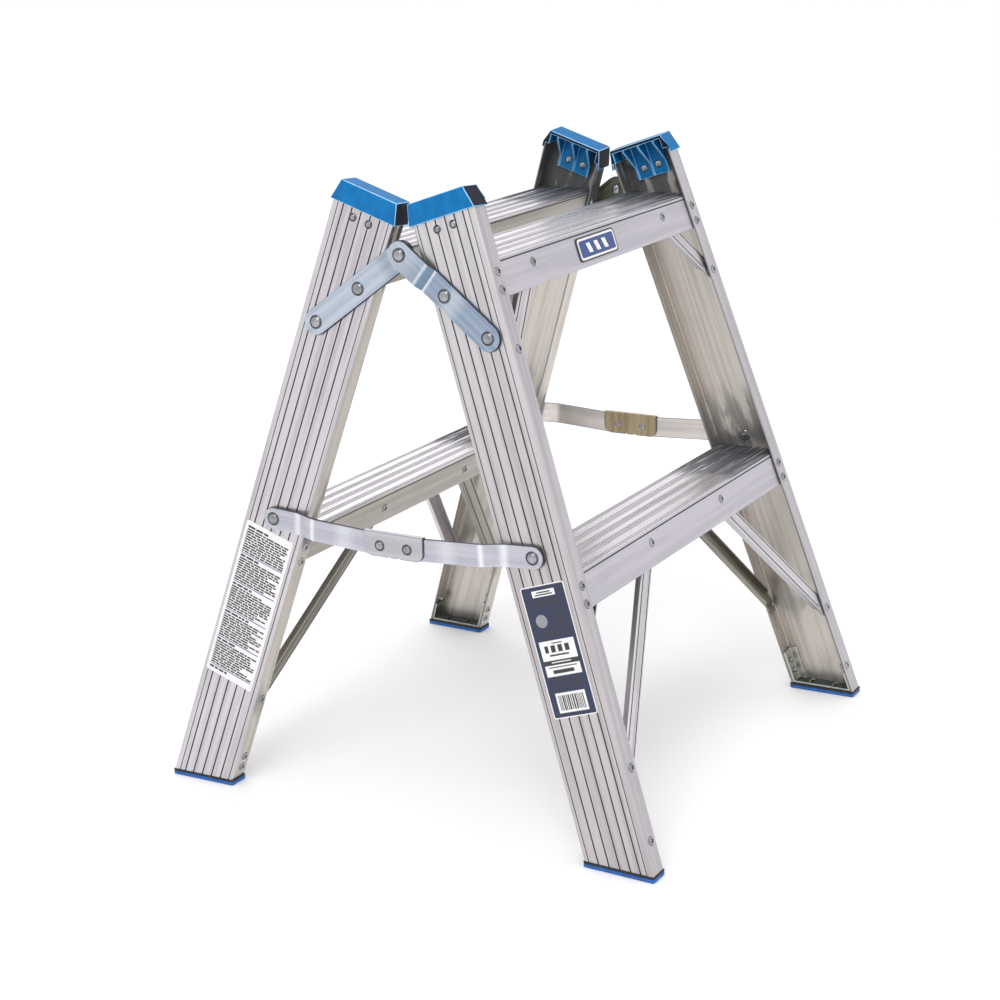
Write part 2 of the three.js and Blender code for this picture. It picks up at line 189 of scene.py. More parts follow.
def lathe(profile, place=WORLD, dark=()):
    """A turned shape from (radius, x) points, about the place's X axis. Profile segments that lie
    within a (radius, radius, x, x) span of dark take material 1, a dark painted shade."""
    vertices, rings, faces, numbers = [], [], [], []
    for radius, x in profile:
        count = 1 if radius < 1e-6 else LATHE_STEPS
        rings.append([len(vertices) + i for i in range(count)])
        for i in range(count):
            turn = 2 * pi * i / LATHE_STEPS
            vertices.append(tuple(place @ Vector((x, radius * cos(turn), radius * sin(turn)))))
    for k, (a, b) in enumerate(zip(rings, rings[1:])):
        radius = (profile[k][0] + profile[k + 1][0]) / 2
        x = (profile[k][1] + profile[k + 1][1]) / 2
        in_painted_shade = any(r0 <= radius <= r1 and x0 <= x <= x1 for r0, r1, x0, x1 in dark)
        for i in range(LATHE_STEPS):
            j = (i + 1) % LATHE_STEPS
            corners = [a[i % len(a)], a[j % len(a)], b[j % len(b)], b[i % len(b)]]
            faces.append(tuple(dict.fromkeys(corners)))
            numbers.append(1 if in_painted_shade else 0)
    return vertices, faces, numbers


def dome(radius, height, steps=7):
    """Profile points up a shallow dome, from its rim to its middle."""
    return [
        (radius * cos(k * pi / 2 / steps), height * sin(k * pi / 2 / steps))
        for k in range(steps)
    ] + [(0, height)]


def flanged_rivet(face, tail, place=WORLD, radius=HEAD, height=2.6, collar=None, upset=0.8):
    """A solid rivet with a rimmed dome on the face side, along X, with painted shade in the crevice
    round its dome and down the side of its rim, and a dark film round it for painted shade. Tail
    is where the other end is upset to a share of the radius, or cut off square. A collar is the
    span of a spacing washer on its shank."""
    shank = radius * 0.47
    profile = []
    if upset:
        tail_dome = [(r, tail - h) for r, h in dome(radius * upset, height * upset * 0.75, 5)]
        profile += list(reversed(tail_dome)) + [(radius * upset, tail), (shank, tail)]
    else:
        profile += [(0, tail), (shank - 0.2, tail), (shank, tail + 0.2)]
    if collar:
        low, high = collar
        profile += [(shank, low), (radius - 0.2, low), (radius, low + 0.2), (radius, high - 0.2)]
        profile += [(radius - 0.2, high), (shank, high)]
    rim = radius - 0.25
    profile += [(shank, face), (rim, face), (radius, face + 0.2), (radius, face + 0.55)]
    profile += [(rim, face + 0.75), (radius - 0.6, face + 0.6), (radius - 0.75, face + 0.4)]
    profile += [(r, face + 0.45 + h) for r, h in dome(radius - 0.95, height - 0.45)]
    # Dark spans: painted shade in the crevice round the dome and down the side of the rim.
    crevice = (radius - 0.96, radius - 0.4, face + 0.3, face + 0.72)
    side = (radius - 0.01, radius + 0.01, face, face + 0.4)
    return [lathe(profile, place, dark=(crevice, side)), shade_ring_film(face, radius, place)]


def shade_ring_film(face, radius, place, spread=0.75):
    """A thin dark film round a rivet's head: painted shade where the head meets the surface."""
    film = [(0, face - 0.12), (radius + spread, face - 0.12), (radius + spread, face + 0.02)]
    film += [(radius + spread - 0.3, face + 0.12), (0, face + 0.12)]
    return (*lathe(film, place)[:2], 1)


def blind_rivet(face, tail, place, radius=4.3):
    """A hollow-headed blind rivet along X: a low flange round the broken stem, a bulb behind, and
    painted shade round the flange and in the hollow."""
    bulb = [(r, tail - 2.4 - h) for r, h in dome(radius * 0.72, 1.6, 5)]
    profile = list(reversed(bulb)) + [(radius * 0.72, tail - 1.2), (radius * 0.6, tail)]
    head = ((0.97, 0.4), (0.8, 1.0), (0.65, 1.45), (0.52, 1.55), (0.45, 1.4), (0.42, 0.5), (0.25, 0.5),
            (0.22, 0.9), (0, 1.0))
    profile += [(radius - 0.15, face), (radius, face + 0.12)]
    profile += [(radius * share, face + high) for share, high in head]
    # Dark span: painted shade in the hollow.
    hollow = (radius * 0.24, radius * 0.49, face + 0.4, face + 1.5)
    return [lathe(profile, place, dark=(hollow,)), shade_ring_film(face, radius, place, 0.5)]


def strip(width, skin, length, step=0, bends=(0, 1), base=0):
    """A flat strip hanging down Z from z = 0 to z = -length, with half-round ends. It lies at
    x = base at the far end, and at x = base + step above the bends."""
    radius = width / 2
    quarter = 12
    blunt = 0.04
    near = bends[0] - 4
    stations = [radius - blunt]
    stations += [radius * cos(k * pi / 2 / quarter) for k in range(1, quarter + 1)]
    if step:
        stations += [-near * k / 3 for k in range(1, 4)]
        stations += [-near - (bends[1] - bends[0] + 8) * k / 14 for k in range(1, 15)]
    last = stations[-1]
    stations += [last + (-length - last) * k / 6 for k in range(1, 7)]
    stations += [-length - radius * sin(k * pi / 2 / quarter) for k in range(1, quarter)]
    stations.append(blunt - length - radius)
    stations = [s for i, s in enumerate(stations) if i == 0 or s < stations[i - 1] - 1e-6]

    def lift(z):
        """How far out the strip lies at a level."""
        t = min(max((-z - bends[0]) / (bends[1] - bends[0]), 0), 1)
        return base + step * (1 - (t * t * (3 - 2 * t) + t) / 2)

    rings = []
    bevel = min(0.45, skin / 4)
    for z in stations:
        beyond = max(z, -length - z, 0)
        half = math.sqrt(max(radius ** 2 - beyond ** 2, 0))
        slope = (lift(z + 0.05) - lift(z - 0.05)) / 0.1 if step else 0
        normal = Vector((1, 0, -slope)).normalized()
        soft = min(bevel, half * 0.4)
        section = rounded((-half, half), (0, skin), soft, 2)
        origin = Vector((lift(z), 0, z))
        rings.append([origin + normal * through + Vector((0, side, 0)) for side, through in section])
    return (*loft(rings), on_edge)


def on_edge(face):
    """1 for a face on a strip's sawn edge, 2 for its back and 0 for its front."""
    if face.normal.x < -0.5:
        return 2
    return 1 if face.normal.x < 0.5 else 0


# ---- Pieces ----
def placed(name, data):
    """A new object in the scene."""
    thing = bpy.data.objects.new(name, data)
    bpy.context.scene.collection.objects.link(thing)
    return thing


def build(name, shapes, place, materials, body, stands_for=(), bevel=0):
    """One Blender piece from shapes in a place's own millimetres. Each shape is (vertices, faces)
    or (vertices, faces, material number). The number may be a list with one for each face, or a
    rule that takes a face."""
    bm = bmesh.new()
    choices = []
    for vertices, faces, *number in shapes:
        chosen = number[0] if number else 0
        made = [bm.verts.new(v) for v in vertices]
        for i, face in enumerate(faces):
            new = bm.faces.new([made[k] for k in face])
            choices.append((new, chosen[i] if isinstance(chosen, list) else chosen))
    bmesh.ops.recalc_face_normals(bm, faces=bm.faces)
    for face, chosen in choices:
        face.material_index = chosen(face) if callable(chosen) else chosen
    finish_piece(name, bm, place, materials, body, stands_for, bevel, 2)


def finish_piece(name, bm, place, materials, body, stands_for, bevel, segments, edge_number=-1):
    """Rounds a mesh's hard edges, notes each point's own place for the materials, and puts the
    piece on its body."""
    bmesh.ops.recalc_face_normals(bm, faces=bm.faces)
    if bevel:
        hard = [e for e in bm.edges if e.is_manifold and e.calc_face_angle() > HARD_EDGE]
        bmesh.ops.bevel(
            bm, geom=hard, offset=bevel, segments=segments, profile=0.5, affect="EDGES",
            clamp_overlap=True, material=edge_number,
        )
    mesh = bpy.data.meshes.new(name)
    bm.to_mesh(mesh)
    bm.free()
    shift = Vector([random.uniform(-900, 900) for _ in range(3)])
    grain = mesh.attributes.new("grain", "FLOAT_VECTOR", "POINT")
    spot = mesh.attributes.new("spot", "FLOAT_VECTOR", "POINT")
    for i, vertex in enumerate(mesh.vertices):
        grain.data[i].vector = vertex.co + shift
        spot.data[i].vector = vertex.co
    mesh.transform(Matrix.Scale(MM, 4) @ place)
    if place.determinant() < 0:
        mesh.flip_normals()
    for polygon in mesh.polygons:
        polygon.use_smooth = True
    mesh.set_sharp_from_angle(angle=SHARP_EDGE)
    for one in materials:
        mesh.materials.append(one)
    piece = placed(name, mesh)
    weighted = piece.modifiers.new("weighted", "WEIGHTED_NORMAL")
    weighted.keep_sharp = True
    weighted.weight = 80
    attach(piece, body)
    if stands_for:
        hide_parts(*stands_for)


def refined(name, node, place, materials, body, bevel, rule, edge_number):
    """A finer copy of a CAD node: its flat faces made whole again and its edges rounded. A rule
    picks a face's material, and edge_number is the rounded edges' material."""
    bm = bmesh.new()
    bm.from_mesh(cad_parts[node].data)
    to_local = place.inverted() @ Matrix.Scale(1 / MM, 4)
    bmesh.ops.transform(bm, matrix=to_local, verts=bm.verts)
    bmesh.ops.remove_doubles(bm, verts=bm.verts, dist=1e-3)
    bmesh.ops.dissolve_limit(bm, angle_limit=radians(0.6), verts=bm.verts, edges=bm.edges)
    bmesh.ops.recalc_face_normals(bm, faces=bm.faces)
    for face in bm.faces:
        face.material_index = rule(face)
    finish_piece(name, bm, place, materials, body, (node,), bevel, 3, edge_number)


# ---- Materials ----
class Tree:
    """A short way to write a material's nodes."""

    def __init__(self, name):
        self.material = bpy.data.materials.new(name)
        self.material.use_nodes = True
        self.nodes = self.material.node_tree.nodes
        self.links = self.material.node_tree.links
        self.shader = self.nodes["Principled BSDF"]

    def add(self, kind, **settings):
        node = self.nodes.new(kind)
        for key, value in settings.items():
            setattr(node, key, value)
        return node

    def feed(self, socket, value):
        """Gives a socket an output, a colour or a number."""
        if isinstance(value, tuple):
            socket.default_value = (*value, 1)
        elif isinstance(value, (int, float)):
            socket.default_value = value
        else:
            self.links.new(value, socket)

    def sums(self, operation, *values):
        """The result of a Math node."""
        node = self.add("ShaderNodeMath", operation=operation)
        for socket, value in zip(node.inputs, values):
            self.feed(socket, value)
        return node.outputs[0]

    def grain(self, stretch):
        """Coordinates in millimetres that move with the piece, scaled along each axis."""
        source = self.add("ShaderNodeAttribute", attribute_name="grain")
        scaled = self.add("ShaderNodeVectorMath", operation="MULTIPLY")
        self.links.new(source.outputs["Vector"], scaled.inputs[0])
        scaled.inputs[1].default_value = stretch
        return scaled.outputs[0]

    def noise(self, stretch, detail=3, roughness=0.55):
        """Noise with features of about a millimetre over the stretch along each axis."""
        node = self.add("ShaderNodeTexNoise")
        self.links.new(self.grain(stretch), node.inputs["Vector"])
        node.inputs["Scale"].default_value = 1
        node.inputs["Detail"].default_value = detail
        node.inputs["Roughness"].default_value = roughness
        return node.outputs["Fac"]

    def ramp(self, value, *stops):
        """A colour or a shade that follows a value through (position, colour) stops."""
        node = self.add("ShaderNodeValToRGB")
        node.color_ramp.interpolation = "EASE"
        while len(node.color_ramp.elements) < len(stops):
            node.color_ramp.elements.new(0.5)
        for element, (position, colour) in zip(node.color_ramp.elements, stops):
            element.position = position
            shade = colour if isinstance(colour, tuple) else (colour,) * 3
            element.color = (*shade, 1)
        self.links.new(value, node.inputs["Fac"])
        return node.outputs["Color"]

    def mix(self, factor, a, b, blend="MIX"):
        """Two colours blended by a factor. Each may be an output or a fixed value."""
        node = self.add("ShaderNodeMix", data_type="RGBA", blend_type=blend)
        for socket, value in ((0, factor), (6, a), (7, b)):
            self.feed(node.inputs[socket], value)
        return node.outputs[2]

    def span(self, value, low, high, to_low, to_high):
        """A value carried from one range to another."""
        node = self.add("ShaderNodeMapRange")
        self.links.new(value, node.inputs["Value"])
        limits = {"From Min": low, "From Max": high, "To Min": to_low, "To Max": to_high}
        for key, number in limits.items():
            node.inputs[key].default_value = number
        return node.outputs["Result"]

    def total(self, a, b, share):
        """One value plus a share of another."""
        return self.sums("MULTIPLY_ADD", b, share, a)

    def band(self, axis, *stops):
        """A value that follows (millimetres, value) stops along one local axis."""
        source = self.add("ShaderNodeAttribute", attribute_name="spot")
        parts = self.add("ShaderNodeSeparateXYZ")
        self.links.new(source.outputs["Vector"], parts.inputs[0])
        low, high = stops[0][0], stops[-1][0]
        share = self.span(parts.outputs["XYZ".index(axis)], low, high, 0, 1)
        return self.ramp(share, *[((at - low) / (high - low), value) for at, value in stops])

    def bump(self, height, depth):
        """Relief of a depth in millimetres."""
        node = self.add("ShaderNodeBump")
        node.inputs["Strength"].default_value = 1.0
        node.inputs["Distance"].default_value = depth * MM
        self.links.new(height, node.inputs["Height"])
        self.links.new(node.outputs["Normal"], self.shader.inputs["Normal"])

    def put(self, **inputs):
        """Sets the shader's inputs, and gives the finished material."""
        names = {
            "colour": "Base Color", "metallic": "Metallic", "roughness": "Roughness",
            "specular": "Specular IOR Level",
        }
        for key, value in inputs.items():
            self.feed(self.shader.inputs[names[key]], value)
        return self.material


def sheet_metal(name, light, dark, rough=(0.3, 0.46), along="z", streak=0.35, grain_depth=0.012,
                soiling=0.35, mottling=0.55, dark_reflections=None, wear_and_highlight=None, shaded=None,
                reflection_stretch=(0.07, 0.02)):
    """Metal with drawing lines along one axis, soft bands, a fine mottle and small stains. Dark
    reflections, given as (axis, stops), are painted as dark streaks, stretched to the given share of a
    millimetre across and along; a bright band given as (axis, stops) is a painted highlight, and a
    shaded one a painted shade."""
    tree = Tree(name)
    fine = [2.4, 2.4, 2.4]
    broad = [0.16, 0.16, 0.16]
    axis = "xyz".index(along)
    fine[axis] = 0.012
    broad[axis] = 0.004
    lines = tree.noise(fine, 4, 0.65)
    bands = tree.noise(broad, 2)
    mottle = tree.noise((0.75, 0.75, 0.75), 5, 0.7)
    cloud = tree.noise((0.018, 0.018, 0.012), 4, 0.6)
    drawn = tree.total(tree.span(bands, 0.3, 0.7, 0, 1), lines, streak)
    colour = tree.ramp(drawn, (0.25, dark), (0.85, light))
    tint = tree.ramp(mottle, (0.3, (0.90, 0.94, 0.90)), (0.5, (1, 1, 1)), (0.72, (1.0, 0.93, 0.97)))
    colour = tree.mix(mottling, colour, tint, "MULTIPLY")
    stain = tree.ramp(cloud, (0.3, (0.80, 0.79, 0.76)), (0.52, (1, 1, 1)))
    colour = tree.mix(soiling, colour, stain, "MULTIPLY")
    rough_by = tree.total(tree.span(mottle, 0.3, 0.75, 0, 0.5), bands, 0.7)
    roughness = tree.span(rough_by, 0.2, 0.9, rough[0], rough[1])
    metallic = 1.0
    # Dark streaks painted where reflections of nearby parts fall: not metallic, and rougher there.
    if dark_reflections:
        streaks = [reflection_stretch[0]] * 3
        streaks[axis] = reflection_stretch[1]
        where = tree.band(*dark_reflections)
        reflection_streak_mix = tree.total(tree.noise(streaks, 3, 0.5), where, 0.22)
        dark_reflection_mask = tree.sums("MULTIPLY", tree.ramp(reflection_streak_mix, (0.52, 0.0), (0.66, 1.0)), where)
        colour = tree.mix(dark_reflection_mask, colour, DARK_REFLECTION)
        metallic = tree.span(dark_reflection_mask, 0, 1, 1.0, 0.0)
        roughness = tree.total(roughness, dark_reflection_mask, 0.2)
    # A dark band of painted shade.
    if shaded:
        colour = tree.mix(tree.band(*shaded), colour, SHADE)
    # A bright band of painted highlight.
    if wear_and_highlight:
        colour = tree.mix(tree.band(*wear_and_highlight), colour, PAINTED_HIGHLIGHT)
    tree.bump(tree.total(lines, mottle, 0.8), grain_depth)
    return tree.put(colour=colour, metallic=metallic, roughness=roughness, specular=0.08)


def moulded(name, light, dark, rough=(0.32, 0.5), grain_depth=0.03, specular=0.5):
    """Moulded plastic or rubber: a fine pebbled grain, faint flow marks and rubbed patches."""
    tree = Tree(name)
    pebble = tree.noise((2.2, 2.2, 2.2), 3, 0.6)
    flow = tree.noise((0.05, 0.09, 0.05), 3)
    scuff = tree.noise((0.9, 0.16, 0.9), 5, 0.75)
    colour = tree.ramp(flow, (0.3, dark), (0.7, light))
    rubbed = tree.ramp(scuff, (0.60, 0.0), (0.78, 1.0))
    colour = tree.mix(tree.span(rubbed, 0, 1, 0, 0.22), colour, tuple(min(1, c * 1.6 + 0.06) for c in light))
    tree.bump(tree.total(pebble, scuff, 0.4), grain_depth)
    rough_by = tree.total(flow, scuff, 0.6)
    return tree.put(
        colour=colour, metallic=0.0, specular=specular,
        roughness=tree.span(rough_by, 0.4, 1.1, rough[0], rough[1]),
    )


# Colours of the painted dark reflections, painted shade and painted highlights.
DARK_REFLECTION = (0.030, 0.042, 0.050)
SHADE = (0.10, 0.17, 0.25)
PAINTED_HIGHLIGHT = (0.93, 0.94, 0.96)

rail_metal = sheet_metal("rail_aluminium", (0.64, 0.61, 0.645), (0.53, 0.505, 0.53), streak=0.22)
# Frame B's rails: a darker, browner copy of the rail metal, painted lighter towards the top as a highlight.
rail_metal_b = sheet_metal(
    "rail_aluminium_b", (0.565, 0.53, 0.545), (0.465, 0.435, 0.445), streak=0.22,
    wear_and_highlight=("Z", (-420, 0.0), (-250, 0.06), (-100, 0.2), (20, 0.3)),
)
# Outer flange and flange tips: darker copies of the rail metal, painted shade.
flange_shade_metal = sheet_metal("flange_aluminium_shade", (0.56, 0.535, 0.57), (0.47, 0.45, 0.48), streak=0.15)
tip_shade_metal = sheet_metal("flange_tip_shade", (0.34, 0.34, 0.35), (0.24, 0.245, 0.25), (0.35, 0.5), streak=0.15)
# Inside of the channel and the inner flange: a warmer, darker copy of the rail metal, painted shade, with
# dark streaks painted as reflections near the treads and lower down.
rail_inside_shade = sheet_metal(
    "rail_aluminium_inside_shade", (0.64, 0.60, 0.555), (0.51, 0.475, 0.435), (0.32, 0.5), streak=0.3,
    dark_reflections=("Z", (-640, 0.3), (-610, 0.1), (-560, 0.0), (-525, 0.35), (-480, 0.0), (-345, 0.0),
             (-322, 0.75), (-290, 0.5), (-235, 0.0), (-60, 0.0), (-30, 0.85), (30, 0.9)),
)
apron_metal = sheet_metal(
    "apron_aluminium", (0.59, 0.565, 0.62), (0.52, 0.50, 0.55), (0.34, 0.48), "x", 0.1, mottling=0.5,
    soiling=0.15,
)
# Inner aprons: a darker copy of the apron metal, painted shade.
apron_inside_shade = sheet_metal(
    "apron_aluminium_inside_shade", (0.48, 0.45, 0.415), (0.39, 0.365, 0.335), (0.34, 0.48), "x", 0.1,
)
# Rib sides: a darker copy of the tread metal, painted shade.
rib_shade_metal = sheet_metal("rib_aluminium_shade", (0.40, 0.39, 0.41), (0.28, 0.275, 0.29), (0.3, 0.45), "x")
# Tread tops: a lighter copy of the aluminium, painted light, with dark streaks painted as reflections towards
# the ends.
tread_lit_metal = sheet_metal(
    "tread_aluminium_lit", (0.86, 0.83, 0.87), (0.72, 0.695, 0.73), (0.22, 0.36), "x", 0.22,
    mottling=0.3, soiling=0.2,
    dark_reflections=("X", (-230, 0.35), (-175, 0.2), (-125, 0.0), (85, 0.0), (140, 0.85), (230, 0.95)),
    reflection_stretch=(0.32, 0.012),
)
brace_metal = sheet_metal("brace_aluminium", (0.64, 0.62, 0.65), (0.5, 0.485, 0.50), (0.3, 0.45))
# Inner brace: a darker copy of the brace metal, painted shade.
brace_shade_metal = sheet_metal("brace_shade_metal", (0.36, 0.34, 0.295), (0.22, 0.21, 0.18), (0.35, 0.5))
shoe_metal = sheet_metal("shoe_aluminium", (0.56, 0.56, 0.50), (0.40, 0.405, 0.36), (0.3, 0.45))
shoe_floor = moulded("shoe_floor", (0.062, 0.080, 0.076), (0.035, 0.047, 0.045), (0.5, 0.7), specular=0.2)
# Rounded shoe edges: a bright copy, painted highlight.
shoe_edge_highlight = sheet_metal("shoe_edge_highlight", (0.80, 0.80, 0.80), (0.66, 0.66, 0.65), (0.25, 0.4))
# Bright bands at the bends and lower down: painted highlights.
bar_metal = sheet_metal(
    "bar_aluminium", (0.50, 0.505, 0.565), (0.43, 0.435, 0.50), (0.2, 0.3), "z", 0.06, 0.004, 0.25, 0.25,
    wear_and_highlight=("Z", (-110, 0.0), (-92, 0.28), (-76, 0.0), (-58, 0.0), (-53, 0.65), (-49, 0.05), (-38, 0.0),
          (-31, 0.5), (-24, 0.0)),
)
# Bar backs: a lighter, warmer copy of the bar metal, painted light.
bar_back_lit = sheet_metal("bar_back_lit", (0.76, 0.72, 0.695), (0.66, 0.625, 0.60), (0.25, 0.4), streak=0.1)
# Bar and link edges and the thin film round them: near black, a painted shadow outline.
bar_outline_shade = sheet_metal("bar_edge_outline_shade", (0.20, 0.21, 0.24), (0.14, 0.145, 0.17), (0.3, 0.45))
link_metal = sheet_metal(
    "link_steel", (0.50, 0.50, 0.53), (0.43, 0.43, 0.465), (0.22, 0.32), "y", 0.06, 0.004, 0.25, 0.2,
)
# Darker towards the pivot end: painted shade.
zinc_metal = sheet_metal(
    "zinc_plate", (0.55, 0.605, 0.69), (0.44, 0.50, 0.60), (0.2, 0.32), "z", 0.05, 0.004, 0.35, 0.15,
    shaded=("Z", (-34, 0.0), (-18, 0.35), (-8, 0.1), (0, 0.0)),
)
# A dark band and bright bands at the joggle, lighter towards the pivot: painted shade and painted highlights.
zinc_step = sheet_metal(
    "zinc_plate_stepped", (0.36, 0.44, 0.55), (0.28, 0.35, 0.46), (0.2, 0.32), "z", 0.05, 0.004, 0.35, 0.15,
    shaded=("Z", (-39.5, 0.0), (-38, 0.75), (-33, 0.65), (-31, 0.0)),
    wear_and_highlight=("Z", (-90, 0.0), (-72, 0.3), (-58, 0.0), (-43, 0.0), (-40, 0.7), (-38.5, 0.0), (-32, 0.0),
          (-29.5, 0.5), (-27, 0.1), (-10, 0.25), (0, 0.3)),
)
# Arm backs: a darker copy of the zinc plate, painted shade.
zinc_back_shade = sheet_metal("zinc_back_shade", (0.22, 0.24, 0.185), (0.14, 0.16, 0.12), (0.3, 0.45), streak=0.1)
# Arm edges, the thin film round each arm and the shoe rivets: near black, painted shade.
zinc_outline_shade = sheet_metal("zinc_edge_outline_shade", (0.12, 0.15, 0.19), (0.07, 0.09, 0.12), (0.35, 0.5))
link_gold = sheet_metal("yellow_zinc_plate", (0.45, 0.37, 0.24), (0.33, 0.27, 0.17), (0.3, 0.45), streak=0.15)
rivet_metal = sheet_metal("rivet_steel", (0.41, 0.41, 0.43), (0.28, 0.285, 0.30), (0.16, 0.28), streak=0.1,
                          grain_depth=0.004)
# Near black for grooves, creases, crevices and hollows: painted shade.
painted_crevice_shade = moulded("painted_crevice_shade", (0.045, 0.05, 0.065), (0.025, 0.03, 0.04), (0.6, 0.8), 0.02)
rivet_finish = [rivet_metal, painted_crevice_shade]
cap_plastic = moulded("cap_plastic", (0.002, 0.165, 0.43), (0.001, 0.13, 0.35), (0.4, 0.55), specular=0.18)
# Cap ends and hollows: near black, painted shade; rounded cap edges: a paler blue, painted highlight.
cap_end_shade = moulded("cap_end_shade", (0.008, 0.010, 0.03), (0.005, 0.007, 0.02), (0.45, 0.6), specular=0.2)
cap_edge_highlight = moulded("cap_edge_highlight", (0.36, 0.64, 0.90), (0.20, 0.48, 0.80))
sole_plastic = moulded("sole_plastic", (0.010, 0.13, 0.44), (0.007, 0.09, 0.33), (0.45, 0.65), 0.05)
pad_rubber = moulded("pad_rubber", (0.02, 0.021, 0.026), (0.011, 0.012, 0.016), (0.5, 0.7), 0.05)


# ---- Rails ----
# Each groove is (place across the web, width, depth).
GROOVES = ((4.7, 1.1, 0.45), (15.0, 1.7, 0.9), (26.2, 1.7, 0.9), (37.5, 1.7, 0.9), (48.6, 1.7, 0.9),
           (58.9, 1.7, 0.9), (65.4, 1.1, 0.45))
WEB, GROOVE, INSIDE, OUTSIDE, TIPS = range(5)


def rail_outline():
    """The rail's section in rail space: a grooved web with a flange at each side."""
    corners = [(0, RAIL_IN, 1.4)]
    for middle, width, depth in GROOVES:
        y = RAIL_IN + middle
        corners += [(0, y - width / 2, 0.3), (-depth, y - 0.22, 0.15), (-depth, y + 0.22, 0.15)]
        corners += [(0, y + width / 2, 0.3)]
    corners += [(0, RAIL_OUT, 1.4), (-FLANGE, RAIL_OUT, 0.9), (-FLANGE, RAIL_OUT - WALL, 0.9)]
    corners += [(-WALL, RAIL_OUT - WALL, 1.3), (-WALL, RAIL_IN + WALL, 1.3)]
    corners += [(-FLANGE, RAIL_IN + WALL, 0.9), (-FLANGE, RAIL_IN, 0.9)]
    return fillet(corners, 3)


def rail_shape():
    """The rail from its level sawn foot to its square top."""
    low = rail_level(PAD_HEIGHT + GAP)
    outline = rail_outline()
    rings = []
    for share in (0, 0.12, 0.25, 0.38, 0.5, 0.62, 0.75, 0.88, 1):
        rings.append([(x, y, low(x, y) + share * (RAIL_TOP - low(x, y))) for x, y in outline])
    return (*loft(rings), rail_side)


def rail_side(face):
    """Which part of the rail a face is on. The inner flange counts as inside the channel."""
    middle = face.calc_center_median()
    if RAIL_IN + 2.5 < middle.y < RAIL_OUT - 2.5 and -1 < middle.x < -0.12:
        return GROOVE
    if middle.x < 0.3 - FLANGE:
        return TIPS
    if middle.y > RAIL_OUT - 0.3 and middle.x < -1.5:
        return OUTSIDE
    return INSIDE if middle.x < -1.5 else WEB


# ---- Treads ----
NOTCH_DROP = 3.4
NOTCH_HALF = 0.7
NOTCH_DEPTH = 0.5
TOP, LINE, RIB, OUTER, INNER = range(5)


def tread_outline(height):
    """The tread's (y, z, radius) section: a ribbed top between two aprons, each with a fine line."""
    land = height - RIB_HEIGHT
    foot = height - TREAD_DROP
    under = land - TREAD_SKIN
    notch = land - NOTCH_DROP
    above = notch + NOTCH_HALF
    below = notch - NOTCH_HALF

    def apron(face, way):
        """One apron, from its top edge down its face and up its back."""
        side = [(leaning(face, z), z, radius) for z, radius in ((land, 1.6), (above, 0))]
        side += [(leaning(face, notch) + way * NOTCH_DEPTH, notch, 0), (leaning(face, below), below, 0)]
        back = face + way * TREAD_SKIN
        side += [(leaning(face, foot), foot, 0.8), (leaning(back, foot), foot, 0.8)]
        return side + [(leaning(back, under), under, 1.5)]

    corners = apron(APRON_IN, 1) + apron(APRON_OUT, -1)[::-1]
    inner = leaning(APRON_IN, land)
    outer = leaning(APRON_OUT, land)
    middles = [
        inner + share * (outer - inner) + (i - (count - 1) / 2) * RIB_PITCH
        for share, count in RIB_GROUPS
        for i in range(count)
    ]
    for middle in reversed(middles):
        corners += [(middle + 1.05, land, 0.25), (middle + 0.55, height, 0.28)]
        corners += [(middle - 0.55, height, 0.28), (middle - 1.05, land, 0.25)]
    return fillet(corners, 3)


def tread_shape(height):
    """The tread at a height, cut to lie against both rails' webs."""
    def to_web(y, z):
        """How far the tread reaches at a point of its section."""
        along = (z - PIVOT_HEIGHT) * cos(LEAN) - y * sin(LEAN)
        return web_at(along) - (WALL + GAP) / cos(SPLAY)

    def shaded(face):
        """Which part of the tread a face is on. Its sawn ends go with the outer apron."""
        middle = face.calc_center_median()
        up = middle.z - height + RIB_HEIGHT
        if abs(face.normal.x) > 0.5:
            return OUTER
        if up >= -0.8:
            return RIB if up > 0.12 and abs(face.normal.z) < 0.85 else TOP
        if abs(up + NOTCH_DROP) < 0.6:
            return LINE
        return INNER if middle.y < leaning((APRON_IN + APRON_OUT) / 2, middle.z) else OUTER

    outline = tread_outline(height)
    rings = []
    for share in (-1, -0.75, -0.5, -0.25, 0, 0.25, 0.5, 0.75, 1):
        rings.append([(share * to_web(y, z), y, z) for y, z in outline])
    return (*loft(rings), shaded)


# ---- Braces ----
BRACE_WIDTH = 18
BRACE_SKIN = 1.8
BRACE_LIP = 7
BRACE_FLAT = 24
# Each point is (share of the half width, depth).
BRACE_CREASE = ((0.56, 0), (0.61, -0.35), (0.68, -0.35), (0.73, 0))


